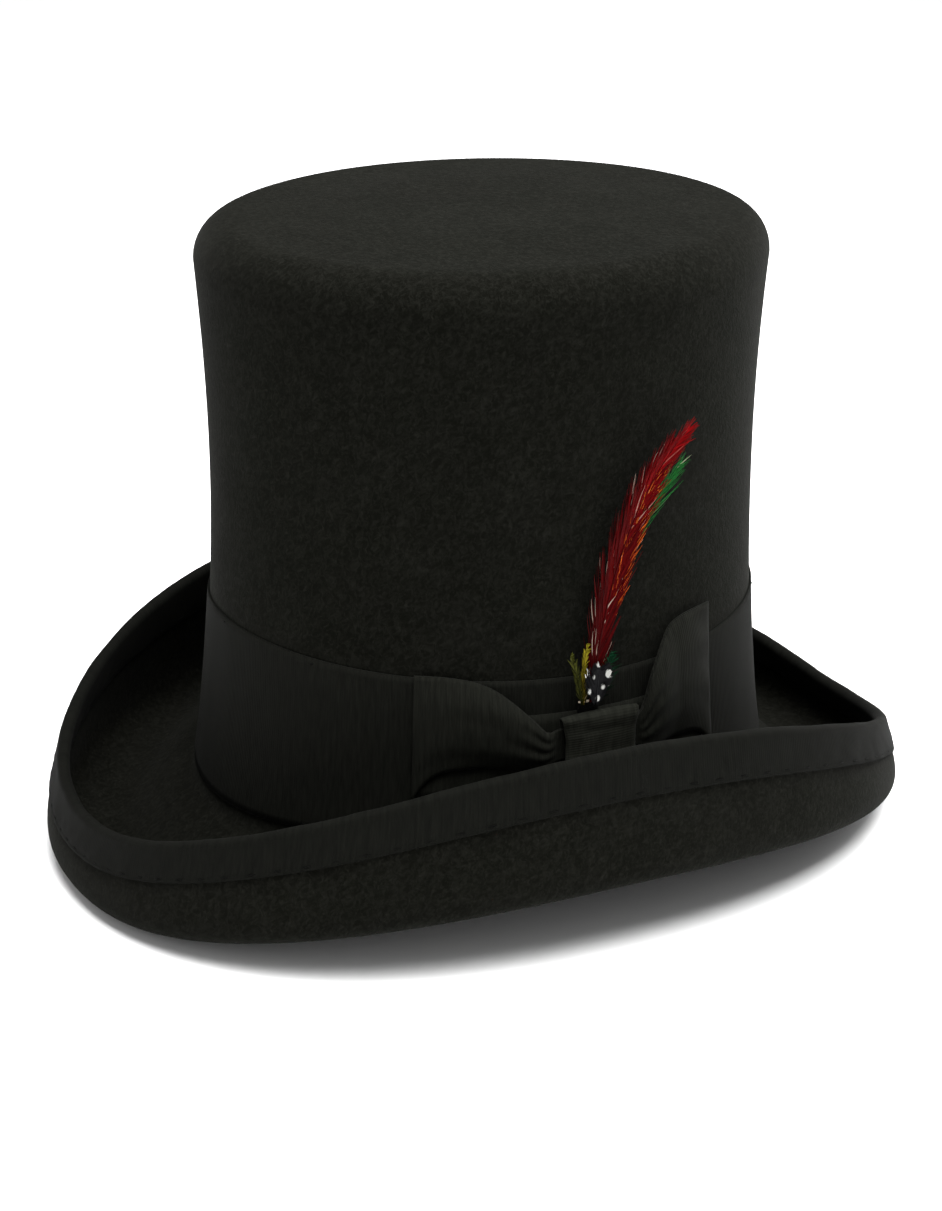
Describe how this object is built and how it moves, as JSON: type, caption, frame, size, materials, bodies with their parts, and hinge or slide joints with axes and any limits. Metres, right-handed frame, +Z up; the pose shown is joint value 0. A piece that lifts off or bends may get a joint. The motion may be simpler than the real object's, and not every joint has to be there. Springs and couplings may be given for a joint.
{
  "type": "top hat",
  "caption": "Tall waisted felt top hat with a rolled, bound brim, a wide ribbon band, a pinched bow and a feather mount that pulls out.",
  "frame": {"origin": "on the surface that the brim rests on, under the middle of the crown", "axes": "+Z up out of the crown's tip, -Y to the front, +X to the wearer's left, where the bow is"},
  "size_m": [0.2454, 0.3148, 0.2224],
  "materials": {
    "black_felt": "matte wool felt",
    "black_grosgrain": "ribbed satin-edged ribbon",
    "black_thread": "matte thread",
    "sweatband_leather": "smooth leather",
    "reed": "matte",
    "sweatband_thread": "matte thread",
    "label_cloth": "woven, blank",
    "lining_satin": "satin",
    "quill": "semi-gloss quill",
    "red_feather": "silky barbs",
    "orange_feather": "silky barbs",
    "green_feather": "silky barbs",
    "yellow_feather": "silky barbs",
    "guinea_feather": "black with white spots"
  },
  "bodies": {
    "hat": {"band_tacks": "black_thread", "binding_stitches": "black_thread", "bow_back_layer": "black_grosgrain", "bow_front_loop": "black_grosgrain", "bow_knot": "black_grosgrain", "bow_rear_loop": "black_grosgrain", "brim_binding": "black_grosgrain", "felt_brim": "black_felt", "felt_crown": "black_felt", "hat_band": "black_grosgrain", "lining_piping": "lining_satin", "lining_side": "lining_satin", "lining_tip": "lining_satin", "size_label": "label_cloth", "sweatband": "sweatband_leather", "sweatband_bow": "black_grosgrain", "sweatband_reed": "reed", "sweatband_seam": "sweatband_thread", "sweatband_stitches": "sweatband_thread"},
    "feather": {"crimson_feather": "red_feather", "feather_quills": "quill", "green_down": "green_feather", "green_feather": "green_feather", "guinea_feather": "guinea_feather", "olive_feather": "yellow_feather", "orange_feather": "orange_feather", "quill_wrap": "black_thread", "red_feather": "red_feather", "yellow_feather": "yellow_feather"}
  },
  "joints": [
    {"name": "feather_pull", "type": "slide", "parent": "hat", "child": "feather", "axis": [0, 0, 1], "range_m": [0, 0.03]}
  ]
}
